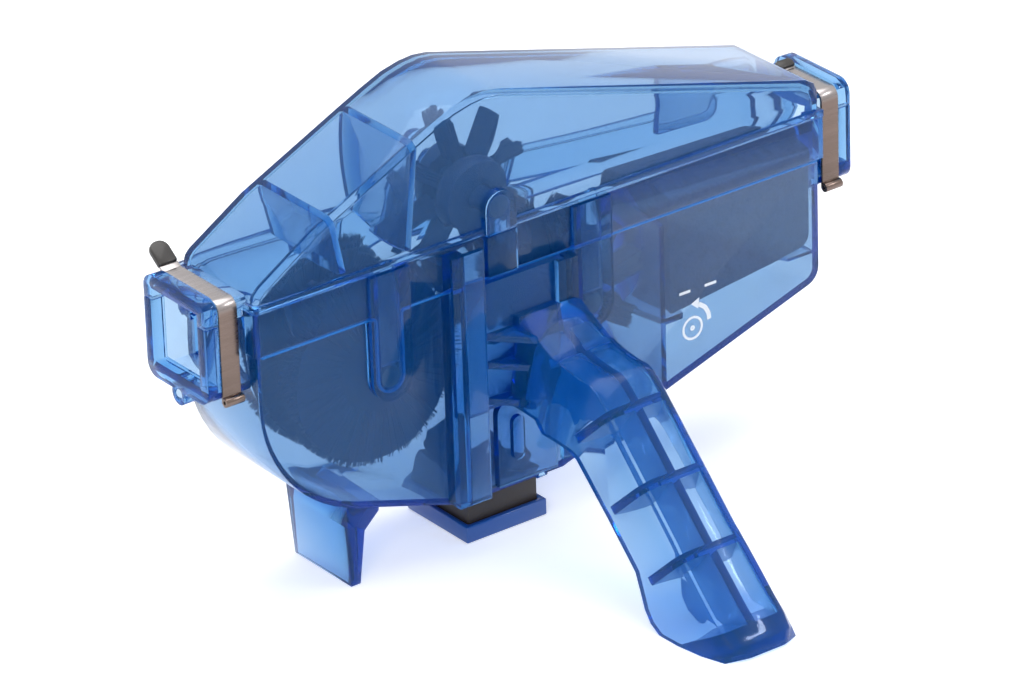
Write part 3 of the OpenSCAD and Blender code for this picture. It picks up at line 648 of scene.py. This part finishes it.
deselectAll()
bpy.ops.mesh.primitive_plane_add(size=stage["size"], location=(0, 0, -stage["drop"]))
floor = bpy.context.active_object
floor.name = "floorSheet"
bpy.ops.object.transform_apply(location=True, rotation=True, scale=True)
floorLook = newLook("floorPaper")
floorLook.surface(floorLook.shader(Base_Color=stage["floor"], Roughness=0.9, Specular_IOR_Level=0.1,
                                   Emission_Color=(1, 1, 1, 1), Emission_Strength=stage["glow"]))
floor.data.materials.append(floorLook.owner)

# white where it is seen, mirrored or seen through, and a soft light on the rest
world = bpy.data.worlds.new("studio")
bpy.context.scene.world = world
sky = Look(world, "ShaderNodeOutputWorld")
seen = sky.node("ShaderNodeLightPath", out="Is Camera Ray")
for ray in ("Is Glossy Ray", "Is Transmission Ray"):
    seen = sky.node("ShaderNodeMath", {"operation": "MAXIMUM"},
                    {0: seen, 1: sky.node("ShaderNodeLightPath", out=ray)})
plain = sky.node("ShaderNodeBackground", {}, {"Color": stage["sky"], "Strength": stage["skyLight"]})
white = sky.node("ShaderNodeBackground", {}, {"Color": (1, 1, 1, 1), "Strength": 1.0})
sky.surface(sky.node("ShaderNodeMixShader", {}, {0: seen, 1: plain, 2: white}))

softboxes = {
    "topBox": {"place": (0.1, 0.1, 0.9), "target": (0, 0, 0.05), "size": (0.9, 0.7), "power": 5.0},
    "keyBox": {"place": (-0.7, -0.6, 0.6), "target": (0, 0, 0.06), "size": (0.3, 0.3), "power": 3.0},
    "rightBox": {"place": (0.66, -0.69, 0.81), "target": (0, 0, 0.06), "size": (0.34, 0.08), "power": 2.4},
}


def softbox(name, place, target, size, power):
    lamp = bpy.data.lights.new(name, "AREA")
    lamp.shape = "RECTANGLE"
    lamp.size, lamp.size_y = size
    lamp.energy = power
    holder = bpy.data.objects.new(name, lamp)
    bpy.context.collection.objects.link(holder)
    holder.location = place
    holder.rotation_euler = (Vector(target) - Vector(place)).to_track_quat("-Z", "Y").to_euler()


for name, values in softboxes.items():
    softbox(name, **values)

# the photo's camera, and how far its aim is off the middle, to the right and up
cameraView = {"place": (-0.9968, -1.3784, 0.8969), "lens": 256.06, "sensor": 36.0, "near": 0.01, "far": 50,
              "right": (0.7975, -0.6025, -0.0295), "up": (0.2863, 0.3351, 0.8976),
              "back": (-0.5309, -0.7244, 0.4398), "aimRight": 0.000137, "aimUp": -0.006728}


def addCamera():
    right, up, back = (Vector(cameraView[k]) for k in ("right", "up", "back"))
    back = -(cameraView["aimRight"] * right + cameraView["aimUp"] * up - back).normalized()
    right = (right - right.dot(back) * back).normalized()
    up = back.cross(right)
    data = bpy.data.cameras.new("photoCamera")
    data.lens = cameraView["lens"]
    data.sensor_width = cameraView["sensor"]
    data.clip_start = cameraView["near"]
    data.clip_end = cameraView["far"]
    holder = bpy.data.objects.new("photoCamera", data)
    bpy.context.collection.objects.link(holder)
    turn = Matrix((right, up, back)).transposed()
    holder.matrix_world = Matrix.Translation(cameraView["place"]) @ turn.to_4x4()
    bpy.context.scene.camera = holder


addCamera()
scene = bpy.context.scene
scene.view_settings.view_transform = "Standard"
scene.cycles.max_bounces = stage["bounces"]
scene.cycles.transmission_bounces = stage["bounces"]
scene.cycles.transparent_max_bounces = stage["bounces"]
print("stage done")
